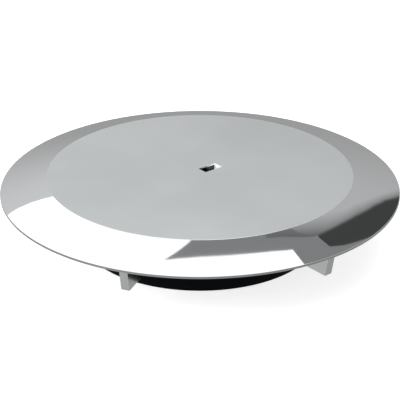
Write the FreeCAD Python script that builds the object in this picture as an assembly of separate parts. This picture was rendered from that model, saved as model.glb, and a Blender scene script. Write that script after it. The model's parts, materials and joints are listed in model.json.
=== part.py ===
"""Round ceiling air diffuser with a lift-off bevelled face, six spacer fins and a rotary damper.

Millimetres. The diffuser lies face up: +Z points out of the face, into the room. The origin is
on the diffuser's axis at the lower end of the duct seal. +X runs along the key slot.
"""
import FreeCAD
import Part
import math
import os

V = FreeCAD.Vector
UP = V(0, 0, 1)
CENTRE = V(0, 0, 0)

# ---- Driving dimensions -------------------------------------------------------------------
# Face plate: a thin sheet disc with a flat middle and a conical bevel down to the rim
face_radius = 104.0
flat_radius = 79.8
bevel_drop = 6.8
face_sheet = 1.0
rim_edge_break = 0.15

# Heights: the ceiling plane is where the fins and the gasket stand
spigot_depth = 16.0
rim_height = 14.0

# Key slot through the face, and the folded pocket behind its outer half
slot_start = 1.4
slot_length = 11.0
slot_width = 6.0
pocket_sheet = 0.8
pocket_depth = 4.0
pocket_wall_length = 5.8
pocket_flange = 1.6

# Spacer fins
fin_count = 6
fin_thickness = 4.2
fin_rim_inset = 6.8
fin_flange_overlap = 7.5
fin_lean = 0.185

# Carrier spider: flat sheet bonded under the face
spider_sheet = 1.5
spider_ring_width = 13.0
spider_arm_width = 12.0
spider_hub_width = 9.0

# Hub socket, which pushes over the centre post
chamber_radius = 17.0
chamber_depth = 3.8
chamber_floor = 1.5
chamber_wall = 2.0
hub_flange = 2.5
sleeve_length = 11.0
sleeve_wall = 5.0

# Grip crown: a ring of spring fingers pressed into the foot of the sleeve
crown_width = 2.4
crown_sheet = 0.5
crown_finger_rise = 1.6
crown_finger_gap = 2.2
crown_finger_count = 6
crown_recess_depth = 2.6

# Collar and duct seal
collar_radius = 59.5
collar_sheet = 1.2
collar_flange_width = 12.5
collar_mouth_chamfer = 0.8
gasket_thickness = 1.5
gasket_margin = 1.0
seal_thickness = 3.3
seal_band = 7.0
seal_groove_depth = 2.1
seal_groove_width = 1.0
seal_lip = 2.0
seal_hook = 0.8
seal_leg = 1.0
seal_leg_height = 4.0
seal_edge_break = 0.4
flange_hole_inset = 6.0
flange_hole_radius = 2.2
flange_hole_count = 3

# Rotary damper: a fixed seat plate and a turning rotor with matching openings
seat_height = 10.0
seat_sheet = 1.2
seat_rim_height = 5.8
opening_inner = 21.0
opening_land = 4.0
opening_angle = 28.0
opening_corner = 2.0
opening_count = 6
rotor_rim_gap = 2.05
rotor_sheet = 1.2
damper_turn = 30.0
stop_circle = 15.5
stop_pin_radius = 1.9
stop_pin_height = 4.0
stop_pin_head_share = 1.6
stop_pin_tip_share = 0.7
knob_inset = 17.0
knob_angle = -90.0
knob_radius = 5.0
knob_waist = 3.2
knob_height = 10.5
knob_stem_radius = 2.0
knob_collar_height = 1.2
knob_flare = 1.8
knob_head_height = 2.4
knob_head_flare = 1.6
knob_edge = 0.8

# Centre post and what sits on it
post_radius = 7.0
post_nose = 1.5
post_nose_shoulder = (0.3, 0.45)
post_stub_radius = 4.0
post_stub_point = 0.25
bush_radius = 9.0
bush_flange_radius = 11.0
bush_flange = 0.8
spring_sheet = 0.6
spring_rise = 0.9
washer_sheet = 0.8
circlip_sheet = 1.0
circlip_radius = 9.2
circlip_groove = 0.6
circlip_gap_angle = 50.0
circlip_lug_radius = 1.5
post_nut_flats = 13.0
post_nut_height = 5.0
post_washer_radius = 8.0
post_stub_end = 1.5

# Fasteners
screw_radius = 1.5
screw_head_radius = 2.8
screw_head_height = 1.3
screw_recess_flats = 2.0
screw_recess_depth = 0.7
fin_screw_length = 9.0
fin_screw_edge = 3.4
hub_screw_edge = 4.2
hub_screw_count = 3
stud_radius = 2.0
stud_length = 6.5
stud_weld_radius = 2.6
stud_weld_height = 0.6
stud_washer_radius = 4.5
stud_nut_flats = 7.0
stud_nut_height = 3.2
rivet_radius = 1.6
rivet_head_radius = 2.3
rivet_head_height = 0.9
rivet_dome_shoulder = (0.7, 0.75)

# Clearances
seat_gap = 0.3
bore_gap = 0.1
turn_gap = 0.05
hole_gap = 0.2
flush_gap = 0.1

# ---- Heights and radii that follow from them ----------------------------------------------
ceiling_z = spigot_depth
rim_z = ceiling_z + rim_height
flat_z = rim_z + bevel_drop
under_face_z = flat_z - face_sheet
spider_z = under_face_z - spider_sheet
chamber_floor_z = spider_z - chamber_depth
sleeve_top_z = chamber_floor_z - chamber_floor
sleeve_foot_z = sleeve_top_z - sleeve_length
post_top_z = chamber_floor_z - seat_gap

bevel_slope = bevel_drop / (face_radius - flat_radius)
bevel_angle = math.atan(bevel_slope)
bevel_depth = face_sheet / math.cos(bevel_angle)
under_corner_radius = flat_radius - face_sheet * math.tan(bevel_angle / 2)
slot_end = slot_start + slot_length

collar_bore = collar_radius - collar_sheet
collar_flange_radius = collar_radius + collar_flange_width
flange_hole_circle = collar_flange_radius - flange_hole_inset
seal_radius = collar_radius + seal_thickness
seal_groove_radius = seal_radius - seal_groove_depth
flange_z = ceiling_z + gasket_thickness
flange_top_z = flange_z + collar_sheet
fin_step_z = flange_top_z + seat_gap
fin_foot_radius = face_radius - fin_rim_inset
fin_inner_radius = collar_flange_radius - fin_flange_overlap
spider_ring_inner = fin_inner_radius
spider_ring_outer = spider_ring_inner + spider_ring_width
spider_hub_radius = chamber_radius + spider_hub_width
fin_screw_circles = (spider_ring_inner + fin_screw_edge, spider_ring_outer - fin_screw_edge)
hub_screw_circle = spider_hub_radius - hub_screw_edge
fin_angles = [180.0 / fin_count + 360.0 * i / fin_count for i in range(fin_count)]
arm_angles = [360.0 * i / fin_count for i in range(fin_count)]
stud_circle = (spider_ring_inner + spider_ring_outer) / 2

seat_top_z = seat_height + seat_sheet
seat_rim_bore = collar_bore - turn_gap - seat_sheet
rotor_radius = seat_rim_bore - rotor_rim_gap
opening_outer = rotor_radius - opening_land
knob_circle = rotor_radius - knob_inset
rotor_z = seat_top_z + bush_flange
rotor_top_z = rotor_z + rotor_sheet
spring_top_z = rotor_top_z + spring_sheet + spring_rise
washer_top_z = spring_top_z + washer_sheet
circlip_top_z = washer_top_z + circlip_sheet
rivet_z = (rotor_top_z + seat_height + seat_rim_height) / 2
opening_angles = [360.0 * i / opening_count for i in range(opening_count)]
stop_angle = 180.0 / opening_count
sleeve_bore = post_radius + bore_gap
crown_radius = sleeve_bore + crown_width
stub_foot_z = seat_height - washer_sheet - post_nut_height - post_stub_end


# ---- Shape helpers ------------------------------------------------------------------------
def solid_of(shape):
    """The shape's first solid, turned so that its volume is positive."""
    solid = shape.Solids[0] if shape.Solids else Part.makeSolid(shape)
    if solid.Volume < 0:
        solid.reverse()
    return solid


def revolve(outline):
    """A solid of revolution about Z from a closed outline of (radius, height) points."""
    corners = [V(r, 0, z) for r, z in outline]
    wire = Part.makePolygon(corners + corners[:1])
    return solid_of(Part.Face(wire).revolve(CENTRE, UP, 360))


def disc(radius, z_low, z_high):
    """A solid disc on the axis."""
    return Part.makeCylinder(radius, z_high - z_low, V(0, 0, z_low))


def ring(inner, outer, z_low, z_high):
    """A plain washer-shaped solid on the axis."""
    return disc(outer, z_low, z_high).cut(disc(inner, z_low, z_high))


def plate_xz(outline, thickness):
    """A flat plate standing in the XZ plane, centred on it, from (x, z) points."""
    corners = [V(x, -thickness / 2, z) for x, z in outline]
    wire = Part.makePolygon(corners + corners[:1])
    return solid_of(Part.Face(wire).extrude(V(0, thickness, 0)))


def block(x_low, x_high, width, z_low, z_high):
    """A rectangular block centred on the XZ plane."""
    return Part.makeBox(x_high - x_low, width, z_high - z_low, V(x_low, -width / 2, z_low))


def turned(shape, angle):
    """A copy of a shape, turned about the axis by an angle in degrees."""
    copy = shape.copy()
    copy.rotate(CENTRE, UP, angle)
    return copy


def moved(shape, x, y, z):
    """A copy of a shape, moved."""
    copy = shape.copy()
    copy.translate(V(x, y, z))
    return copy


def around(shape, angles):
    """Copies of a shape turned to each angle."""
    return [turned(shape, angle) for angle in angles]


def hexagon(flats, z_low, z_high):
    """A hexagonal bar on the axis, given its width across flats."""
    corner = flats / math.sqrt(3)
    turns = [math.radians(60 * i) for i in range(6)]
    points = [V(corner * math.cos(a), corner * math.sin(a), z_low) for a in turns]
    face = Part.Face(Part.makePolygon(points + points[:1]))
    return solid_of(face.extrude(V(0, 0, z_high - z_low)))


def nut(flats, height, thread_radius):
    """A hexagon nut standing on Z = 0, with both faces chamfered at the corners."""
    corner = flats / math.sqrt(3)
    drop = (corner - flats / 2) * math.tan(math.radians(30))
    turning = revolve([
        (0, 0), (flats / 2, 0), (corner, drop),
        (corner, height - drop), (flats / 2, height), (0, height),
    ])
    return hexagon(flats, 0, height).common(turning).cut(disc(thread_radius, 0, height))


def countersunk_screw(length):
    """A countersunk socket screw hanging from its head's top at Z = 0."""
    body = revolve([
        (0, 0), (screw_head_radius, 0), (screw_radius, -screw_head_height),
        (screw_radius, screw_radius / 2 - length), (screw_radius / 2, -length), (0, -length),
    ])
    return body.cut(hexagon(screw_recess_flats, -screw_recess_depth, 0))


def countersunk_hole(depth):
    """The hole that a countersunk screw sits in, with clearance round it and above it."""
    head = screw_head_radius + hole_gap
    neck = screw_radius + hole_gap
    return revolve([
        (0, flush_gap), (head, flush_gap), (head, -flush_gap),
        (neck, -screw_head_height - flush_gap), (neck, -depth), (0, -depth),
    ])


def sector(inner, outer, angle, z_low, z_high, corner):
    """A ring sector centred on +X, with rounded corners."""
    half = math.radians(angle / 2)

    def at(radius, turn):
        return V(radius * math.cos(turn), radius * math.sin(turn), z_low)

    edges = [
        Part.Arc(at(inner, half), at(inner, 0), at(inner, -half)).toShape(),
        Part.makeLine(at(inner, -half), at(outer, -half)),
        Part.Arc(at(outer, -half), at(outer, 0), at(outer, half)).toShape(),
        Part.makeLine(at(outer, half), at(inner, half)),
    ]
    solid = solid_of(Part.Face(Part.Wire(edges)).extrude(V(0, 0, z_high - z_low)))
    upright = [e for e in solid.Edges if len(e.Vertexes) == 2 and
               abs(e.Vertexes[0].Z - e.Vertexes[1].Z) > (z_high - z_low) / 2]
    return solid.makeFillet(corner, upright)


def export(name, shape):
    """Write one piece, or one group of like pieces, to its STEP file."""
    if isinstance(shape, list):
        shape = Part.makeCompound(shape)
    if not shape.isValid():
        raise ValueError(name + " is not a valid shape")
    shape.exportStep("parts/" + name + ".step")


# ---- Face ---------------------------------------------------------------------------------
def face_plate():
    """The sheet disc: flat middle, bevel, a broken rim edge and the key slot."""
    edge = rim_edge_break
    rim_under_z = rim_z - bevel_depth
    body = revolve([
        (0, flat_z), (flat_radius, flat_z),
        (face_radius - edge, rim_z + edge * bevel_slope), (face_radius, rim_z - edge),
        (face_radius, rim_under_z + edge), (face_radius - edge, rim_under_z + edge * bevel_slope),
        (under_corner_radius, under_face_z), (0, under_face_z),
    ])
    return body.cut(block(slot_start, slot_end, slot_width, under_face_z - 1, flat_z + 1))


def key_pocket():
    """A folded pocket behind the slot's outer half: end wall, two sides, floor and flanges."""
    side_start = slot_end - pocket_wall_length
    floor_z = under_face_z - pocket_depth
    outer_width = slot_width + 2 * pocket_sheet
    outer_end = slot_end + pocket_sheet
    shell = block(side_start, outer_end, outer_width, floor_z - pocket_sheet, under_face_z)
    shell = shell.cut(block(side_start, slot_end, slot_width, floor_z, under_face_z))
    flange_low = under_face_z - pocket_sheet
    tabs = block(side_start, outer_end + pocket_flange, outer_width + 2 * pocket_flange,
                 flange_low, under_face_z)
    tabs = tabs.cut(block(side_start, slot_end, slot_width, flange_low, under_face_z))
    return shell.fuse(tabs).removeSplitter()


def carrier_spider():
    """The flat carrier: outer ring, one arm between each two fins, and the hub ring."""
    body = ring(spider_ring_inner, spider_ring_outer, spider_z, under_face_z)
    hub = disc(spider_hub_radius, spider_z, under_face_z)
    arm = block(0, stud_circle, spider_arm_width, spider_z, under_face_z)
    body = body.fuse([hub] + around(arm, arm_angles)).removeSplitter()
    cuts = [disc(chamber_radius, spider_z, under_face_z)]
    stud_hole = Part.makeCylinder(stud_weld_radius + hole_gap, spider_sheet, V(stud_circle, 0, spider_z))
    cuts += around(stud_hole, arm_angles)
    sunk = countersunk_hole(spider_sheet)
    for radius in fin_screw_circles:
        cuts += around(moved(sunk, radius, 0, under_face_z - flush_gap), fin_angles)
    cuts += around(moved(sunk, hub_screw_circle, 0, under_face_z - flush_gap), hub_screw_angles())
    return body.cut(cuts)


def hub_screw_angles():
    """The hub screws stand on lines between the spider's arms."""
    return [fin_angles[0] + 360.0 * i / hub_screw_count for i in range(hub_screw_count)]


def hub_socket():
    """The flanged cup and sleeve that guide the face on the centre post."""
    cup_radius = chamber_radius + chamber_wall
    sleeve_radius = sleeve_bore + sleeve_wall
    body = revolve([
        (sleeve_bore, sleeve_foot_z + crown_recess_depth), (crown_radius, sleeve_foot_z + crown_recess_depth),
        (crown_radius, sleeve_foot_z), (sleeve_radius, sleeve_foot_z), (sleeve_radius, sleeve_top_z),
        (cup_radius, sleeve_top_z), (cup_radius, spider_z - hub_flange),
        (spider_hub_radius, spider_z - hub_flange), (spider_hub_radius, spider_z),
        (chamber_radius, spider_z), (chamber_radius, chamber_floor_z), (sleeve_bore, chamber_floor_z),
    ])
    hole = Part.makeCylinder(screw_radius, hub_flange, V(hub_screw_circle, 0, spider_z - hub_flange))
    return body.cut(around(hole, hub_screw_angles()))


def hub_screws():
    """Countersunk screws through the spider into the hub socket's flange."""
    screw = countersunk_screw(spider_sheet + hub_flange - flush_gap)
    return around(moved(screw, hub_screw_circle, 0, under_face_z - flush_gap), hub_screw_angles())


def grip_crown():
    """A spring-steel ring whose inclined fingers grip the centre post."""
    foot = sleeve_foot_z + crown_sheet
    root = crown_radius - crown_width / 2
    tip_z = foot + crown_finger_rise
    body = revolve([
        (crown_radius, foot), (crown_radius, foot + crown_sheet), (root, foot + crown_sheet),
        (sleeve_bore, tip_z), (sleeve_bore, tip_z - crown_sheet), (root, foot),
    ])
    slit = block(0, root, crown_finger_gap, foot, tip_z)
    angles = [360.0 * i / crown_finger_count for i in range(crown_finger_count)]
    return body.cut(around(slit, angles))


def spacer_fin():
    """One radial fin on +X: it stands on the ceiling, steps over the collar's flange and
    follows the underside of the spider's ring, the flat and the bevel."""
    rise = under_face_z - seat_gap
    slope_top = rise + under_corner_radius * bevel_slope
    tip_radius = (fin_foot_radius + fin_lean * (slope_top - ceiling_z)) / (1 + fin_lean * bevel_slope)
    tip_z = slope_top - tip_radius * bevel_slope
    ring_edge = spider_ring_outer + seat_gap
    step_radius = collar_flange_radius + seat_gap
    body = plate_xz([
        (step_radius, ceiling_z), (fin_foot_radius, ceiling_z), (tip_radius, tip_z),
        (under_corner_radius, rise), (ring_edge, rise), (ring_edge, spider_z),
        (fin_inner_radius, spider_z), (fin_inner_radius, fin_step_z), (step_radius, fin_step_z),
    ], fin_thickness)
    foot_z = under_face_z - flush_gap - fin_screw_length
    hole = Part.makeCylinder(screw_radius, spider_z - foot_z, V(0, 0, foot_z))
    return body.cut([moved(hole, radius, 0, 0) for radius in fin_screw_circles])


def fin_screws():
    """Two countersunk screws down through the spider's ring into each fin."""
    screw = countersunk_screw(fin_screw_length)
    pair = [moved(screw, radius, 0, under_face_z - flush_gap) for radius in fin_screw_circles]
    return [copy for one in pair for copy in around(one, fin_angles)]


def face_studs():
    """Threaded studs welded to the back of the face plate."""
    stud = revolve([
        (0, 0), (stud_weld_radius, 0), (stud_weld_radius, -stud_weld_height),
        (stud_radius, -stud_weld_height), (stud_radius, stud_radius / 3 - stud_length),
        (stud_radius * 2 / 3, -stud_length), (0, -stud_length),
    ])
    return around(moved(stud, stud_circle, 0, under_face_z), arm_angles)


def stud_washers():
    """Plain washers under the spider's ring, one on each stud."""
    washer = ring(stud_radius + hole_gap, stud_washer_radius, spider_z - washer_sheet, spider_z)
    return around(moved(washer, stud_circle, 0, 0), arm_angles)


def stud_nuts():
    """Hexagon nuts that clamp the spider to the face's studs."""
    one = nut(stud_nut_flats, stud_nut_height, stud_radius)
    one = moved(one, stud_circle, 0, spider_z - washer_sheet - stud_nut_height)
    return around(one, arm_angles)


# ---- Collar -------------------------------------------------------------------------------
def flange_hole_angles():
    """The fixing holes lie between fins."""
    return [360.0 * i / flange_hole_count for i in range(flange_hole_count)]


def rivet_angles():
    """The seat plate's rivets lie between its openings."""
    return [angle + stop_angle for angle in opening_angles]


def radial_hole(radius, inner, outer, z):
    """A cylinder along +X between two distances from the axis."""
    return Part.makeCylinder(radius, outer - inner, V(inner, 0, z), V(1, 0, 0))


def collar():
    """The spigot tube with its turned-out flange, fixing holes and rivet holes."""
    body = revolve([
        (collar_bore, seal_hook), (collar_radius, seal_hook), (collar_radius, flange_z),
        (collar_flange_radius, flange_z), (collar_flange_radius, flange_top_z),
        (collar_bore + collar_mouth_chamfer, flange_top_z), (collar_bore, flange_top_z - collar_mouth_chamfer),
    ])
    hole = Part.makeCylinder(flange_hole_radius, collar_sheet, V(flange_hole_circle, 0, flange_z))
    cuts = around(hole, flange_hole_angles())
    cuts += around(radial_hole(rivet_radius, collar_bore - 1, collar_radius + 1, rivet_z), rivet_angles())
    return body.cut(cuts)


def duct_seal():
    """The black rubber seal hooked round the collar's lower end: band, groove and lip."""
    groove_z = seal_band + seal_groove_width
    leg_radius = collar_bore - seal_leg
    return revolve([
        (leg_radius, 0), (seal_radius - seal_edge_break, 0), (seal_radius, seal_edge_break),
        (seal_radius, seal_band), (seal_groove_radius, seal_band), (seal_groove_radius, groove_z),
        (seal_radius, groove_z), (seal_groove_radius, groove_z + seal_lip),
        (collar_radius, groove_z + seal_lip), (collar_radius, seal_hook),
        (collar_bore, seal_hook), (collar_bore, seal_leg_height), (leg_radius, seal_leg_height),
    ])


def ceiling_gasket():
    """The foam ring between the flange and the ceiling."""
    inner = collar_radius + rivet_head_height + hole_gap
    body = ring(inner, collar_flange_radius - gasket_margin, ceiling_z, flange_z)
    radius = flange_hole_radius + hole_gap
    hole = Part.makeCylinder(radius, gasket_thickness, V(flange_hole_circle, 0, ceiling_z))
    return body.cut(around(hole, flange_hole_angles()))


def damper_openings(z_low, z_high):
    """The ring of openings that both damper plates share."""
    one = sector(opening_inner, opening_outer, opening_angle, z_low, z_high, opening_corner)
    return around(one, opening_angles)


def seat_plate():
    """The fixed damper plate with its rim turned up against the collar's bore."""
    outer = collar_bore - turn_gap
    body = revolve([
        (0, seat_height), (outer, seat_height), (outer, seat_height + seat_rim_height),
        (seat_rim_bore, seat_height + seat_rim_height), (seat_rim_bore, seat_top_z), (0, seat_top_z),
    ])
    cuts = damper_openings(seat_height, seat_top_z)
    cuts.append(disc(post_stub_radius, seat_height, seat_top_z))
    pin_hole = Part.makeCylinder(stop_pin_radius, seat_sheet, V(stop_circle, 0, seat_height))
    cuts.append(turned(pin_hole, stop_angle))
    cuts += around(radial_hole(rivet_radius, seat_rim_bore - 1, collar_bore, rivet_z), rivet_angles())
    return body.cut(cuts)


def seat_rivets():
    """Rivets through the collar and the seat plate's rim, with a domed outer head."""
    inner = math.sqrt(seat_rim_bore ** 2 - rivet_head_radius ** 2)
    head_z = collar_radius
    dome_across, dome_up = rivet_dome_shoulder
    dome = revolve([
        (0, inner - rivet_head_height), (rivet_head_radius, inner - rivet_head_height),
        (rivet_head_radius, inner), (rivet_radius, inner), (rivet_radius, head_z),
        (rivet_head_radius, head_z), (rivet_head_radius * dome_across, head_z + rivet_head_height * dome_up),
        (0, head_z + rivet_head_height),
    ])
    dome.rotate(CENTRE, V(0, 1, 0), 90)
    return around(moved(dome, 0, 0, rivet_z), rivet_angles())


def centre_post():
    """The shouldered post: threaded stub, bearing length, circlip groove and rounded nose."""
    groove = post_radius - circlip_groove
    point = post_stub_radius * post_stub_point
    nose_across, nose_down = post_nose_shoulder
    return revolve([
        (0, stub_foot_z), (post_stub_radius - point, stub_foot_z),
        (post_stub_radius, stub_foot_z + point), (post_stub_radius, seat_top_z),
        (post_radius, seat_top_z), (post_radius, washer_top_z - turn_gap),
        (groove, washer_top_z - turn_gap), (groove, circlip_top_z + turn_gap),
        (post_radius, circlip_top_z + turn_gap), (post_radius, post_top_z - post_nose),
        (post_radius - post_nose * nose_across, post_top_z - post_nose * nose_down),
        (post_radius - post_nose, post_top_z), (0, post_top_z),
    ])


def post_washer():
    """The washer under the seat plate."""
    return ring(post_stub_radius + hole_gap, post_washer_radius, seat_height - washer_sheet, seat_height)


def post_nut():
    """The nut that clamps the centre post to the seat plate."""
    one = nut(post_nut_flats, post_nut_height, post_stub_radius)
    return moved(one, 0, 0, seat_height - washer_sheet - post_nut_height)


def stop_pin():
    """The riveted pin that ends the rotor's turn, with its head below the seat plate."""
    head_radius = stop_pin_radius * stop_pin_head_share
    pin = revolve([
        (0, seat_height - washer_sheet), (head_radius, seat_height - washer_sheet),
        (head_radius, seat_height), (stop_pin_radius, seat_height),
        (stop_pin_radius, seat_top_z + stop_pin_height - turn_gap),
        (stop_pin_radius * stop_pin_tip_share, seat_top_z + stop_pin_height),
        (0, seat_top_z + stop_pin_height),
    ])
    return turned(moved(pin, stop_circle, 0, 0), stop_angle)


def disc_spring():
    """The conical spring washer that presses the rotor down."""
    inner = post_radius + hole_gap
    outer = bush_flange_radius
    return revolve([
        (outer, rotor_top_z), (outer, rotor_top_z + spring_sheet),
        (inner, spring_top_z), (inner, spring_top_z - spring_sheet),
    ])


def thrust_washer():
    """The plain washer between the spring and the circlip."""
    return ring(post_radius + hole_gap, bush_flange_radius, spring_top_z, washer_top_z)


def post_circlip():
    """The snap ring in the post's groove, open at one side, with an eyelet at each end."""
    inner = post_radius - circlip_groove + turn_gap
    body = ring(inner, circlip_radius, washer_top_z, circlip_top_z)
    body = body.cut(sector(inner / 2, circlip_radius * 1.5, circlip_gap_angle, washer_top_z, circlip_top_z,
                           circlip_lug_radius / 3))
    middle = (circlip_radius + post_radius) / 2 + circlip_lug_radius / 3
    lug = Part.makeCylinder(circlip_lug_radius, circlip_sheet, V(middle, 0, washer_top_z))
    eye = Part.makeCylinder(circlip_lug_radius / 2, circlip_sheet, V(middle, 0, washer_top_z))
    ends = [circlip_gap_angle / 2, -circlip_gap_angle / 2]
    body = body.fuse(around(lug, ends)).cut(around(eye, ends))
    return body.cut(disc(inner, washer_top_z, circlip_top_z)).removeSplitter()


# ---- Rotor --------------------------------------------------------------------------------
def damper_rotor():
    """The turning plate: openings, bush hole, knob hole and the curved stop slot."""
    body = ring(bush_radius, rotor_radius, rotor_z, rotor_top_z)
    cuts = damper_openings(rotor_z, rotor_top_z)
    knob_hole = Part.makeCylinder(knob_stem_radius, rotor_sheet, V(knob_circle, 0, rotor_z))
    cuts.append(turned(knob_hole, knob_angle))
    half_width = stop_pin_radius + seat_gap
    end_angle = math.degrees(half_width / stop_circle)
    slot = sector(stop_circle - half_width, stop_circle + half_width, damper_turn + 2 * end_angle,
                  rotor_z, rotor_top_z, half_width * 0.6)
    cuts.append(turned(slot, stop_angle - damper_turn / 2))
    return body.cut(cuts)


def rotor_bush():
    """The plastic bush on which the rotor turns, with its flange under the rotor."""
    bore = post_radius + turn_gap
    return revolve([
        (bore, seat_top_z), (bush_flange_radius, seat_top_z), (bush_flange_radius, rotor_z),
        (bush_radius, rotor_z), (bush_radius, rotor_top_z), (bore, rotor_top_z),
    ])


def damper_knob():
    """The waisted finger knob pressed into the rotor."""
    top_z = rotor_top_z + knob_height
    collar_z = rotor_top_z + knob_collar_height
    head_z = top_z - knob_head_height
    body = revolve([
        (0, rotor_z), (knob_stem_radius, rotor_z), (knob_stem_radius, rotor_top_z),
        (knob_radius, rotor_top_z), (knob_radius, collar_z),
        (knob_waist, collar_z + knob_flare), (knob_waist, head_z - knob_head_flare), (knob_radius, head_z),
        (knob_radius, top_z - knob_edge), (knob_radius - knob_edge, top_z), (0, top_z),
    ])
    return turned(moved(body, knob_circle, 0, 0), knob_angle)


# ---- Pieces -------------------------------------------------------------------------------
def main():
    """Build every piece and write it to parts/."""
    os.makedirs("parts", exist_ok=True)
    makers = [
        face_plate, key_pocket, carrier_spider, hub_socket, hub_screws, grip_crown,
        fin_screws, face_studs, stud_washers, stud_nuts,
        collar, duct_seal, ceiling_gasket, seat_plate, seat_rivets, centre_post, post_washer,
        post_nut, stop_pin, disc_spring, thrust_washer, post_circlip,
        damper_rotor, rotor_bush, damper_knob,
    ]
    for maker in makers:
        export(maker.__name__, maker())
    for number, angle in enumerate(fin_angles, start=1):
        export("spacer_fin_" + str(number), turned(spacer_fin(), angle))


main()
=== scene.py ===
"""Studio scene of a round ceiling air diffuser, lying face up on a pale floor.

The design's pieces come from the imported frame. This script gives each one its finished mesh and its
material, and sets up the floor, the lights and the camera. Lengths are in metres.
"""
import json
import logging
import math
from dataclasses import dataclass, field
from enum import Enum
from typing import Sequence

import bmesh
import bpy
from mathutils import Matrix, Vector


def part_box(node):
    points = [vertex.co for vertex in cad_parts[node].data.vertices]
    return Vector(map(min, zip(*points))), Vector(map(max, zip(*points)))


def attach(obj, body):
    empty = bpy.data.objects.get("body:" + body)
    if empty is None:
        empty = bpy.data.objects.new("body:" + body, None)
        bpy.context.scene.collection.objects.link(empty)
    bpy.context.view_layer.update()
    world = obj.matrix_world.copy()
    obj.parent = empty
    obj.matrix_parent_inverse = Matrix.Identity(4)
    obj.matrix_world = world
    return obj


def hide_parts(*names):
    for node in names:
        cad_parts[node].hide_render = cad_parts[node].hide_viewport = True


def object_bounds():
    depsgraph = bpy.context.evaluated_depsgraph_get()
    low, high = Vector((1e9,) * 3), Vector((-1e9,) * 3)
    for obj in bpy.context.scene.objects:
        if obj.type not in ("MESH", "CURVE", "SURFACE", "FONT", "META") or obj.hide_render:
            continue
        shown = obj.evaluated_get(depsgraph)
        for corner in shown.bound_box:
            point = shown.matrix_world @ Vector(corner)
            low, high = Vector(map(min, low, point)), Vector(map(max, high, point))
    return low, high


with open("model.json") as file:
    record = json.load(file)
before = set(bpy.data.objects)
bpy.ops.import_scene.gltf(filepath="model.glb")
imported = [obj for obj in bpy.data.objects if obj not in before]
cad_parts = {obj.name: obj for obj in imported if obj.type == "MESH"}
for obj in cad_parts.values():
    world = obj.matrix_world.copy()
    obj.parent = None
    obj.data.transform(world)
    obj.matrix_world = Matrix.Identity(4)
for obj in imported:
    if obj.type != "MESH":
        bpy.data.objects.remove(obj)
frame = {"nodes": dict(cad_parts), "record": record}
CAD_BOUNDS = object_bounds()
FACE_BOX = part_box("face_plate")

LOG = logging.getLogger("diffuser")
MM = 0.001
FLAT_RADIUS = 79.8 * MM
BEVEL_RIM = 30.0 * MM
Colour = tuple[float, float, float]
Point2 = tuple[float, float]


# ---- Shader node groups ------------------------------------------------------------------
BROAD_SHARE = 0.7
FINE_SHARE = 0.3
FINE_PER_BROAD = 14.0
WORN_POINTINESS = (0.51, 0.56)
WORN_PATCHES = (0.35, 0.65)
DUST_FACING = (0.3, 0.95)
DUST_SPECKS = (0.4, 0.75)
BRUSH_STRETCH = (0.03, 1.0, 0.25)


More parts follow.
